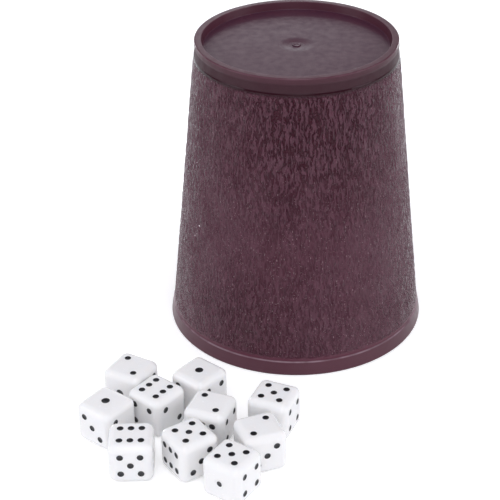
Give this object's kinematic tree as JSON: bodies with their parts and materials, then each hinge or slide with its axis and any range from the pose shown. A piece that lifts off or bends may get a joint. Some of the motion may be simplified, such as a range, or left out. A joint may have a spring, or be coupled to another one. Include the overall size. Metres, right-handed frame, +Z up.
{
  "type": "dice game set",
  "caption": "Tapered dice cup of leather-grained burgundy plastic, standing on its mouth, with a smooth lip and sunk base, and loose white dice with painted pips in front of it.",
  "frame": {"origin": "centre of the cup's mouth, on the table the set stands on", "axes": "+Z up along the cup's axis from its mouth to its base; the dice lie on the -Y side, where the picture's camera stands, with +X to its right"},
  "size_m": [0.1175, 0.1593, 0.1057],
  "materials": {
    "cup_plastic": "satin, leather grain moulded in the wall, smooth lip and base",
    "die_plastic": "polished white",
    "pip_paint": "satin black paint"
  },
  "bodies": {
    "cup": {"dice_cup": "cup_plastic"},
    "die_01": {"die_01": "die_plastic", "die_01_pips": "pip_paint"},
    "die_02": {"die_02": "die_plastic", "die_02_pips": "pip_paint"},
    "die_03": {"die_03": "die_plastic", "die_03_pips": "pip_paint"},
    "die_04": {"die_04": "die_plastic", "die_04_pips": "pip_paint"},
    "die_05": {"die_05": "die_plastic", "die_05_pips": "pip_paint"},
    "die_06": {"die_06": "die_plastic", "die_06_pips": "pip_paint"},
    "die_07": {"die_07": "die_plastic", "die_07_pips": "pip_paint"},
    "die_08": {"die_08": "die_plastic", "die_08_pips": "pip_paint"},
    "die_09": {"die_09": "die_plastic", "die_09_pips": "pip_paint"},
    "die_10": {"die_10": "die_plastic", "die_10_pips": "pip_paint"}
  },
  "joints": [
    {"name": "cup_lift", "type": "slide", "parent": "die_01", "child": "cup", "axis": [0, 0, 1], "range_m": [0, 0.15]},
    {"name": "die_02_lift", "type": "slide", "parent": "die_01", "child": "die_02", "axis": [0, 0, 1], "range_m": [0, 0.1]},
    {"name": "die_03_lift", "type": "slide", "parent": "die_01", "child": "die_03", "axis": [0, 0, 1], "range_m": [0, 0.1]},
    {"name": "die_04_lift", "type": "slide", "parent": "die_01", "child": "die_04", "axis": [0, 0, 1], "range_m": [0, 0.1]},
    {"name": "die_05_lift", "type": "slide", "parent": "die_01", "child": "die_05", "axis": [0, 0, 1], "range_m": [0, 0.1]},
    {"name": "die_06_lift", "type": "slide", "parent": "die_01", "child": "die_06", "axis": [0, 0, 1], "range_m": [0, 0.1]},
    {"name": "die_07_lift", "type": "slide", "parent": "die_01", "child": "die_07", "axis": [0, 0, 1], "range_m": [0, 0.1]},
    {"name": "die_08_lift", "type": "slide", "parent": "die_01", "child": "die_08", "axis": [0, 0, 1], "range_m": [0, 0.1]},
    {"name": "die_09_lift", "type": "slide", "parent": "die_01", "child": "die_09", "axis": [0, 0, 1], "range_m": [0, 0.1]},
    {"name": "die_10_lift", "type": "slide", "parent": "die_01", "child": "die_10", "axis": [0, 0, 1], "range_m": [0, 0.1]}
  ]
}
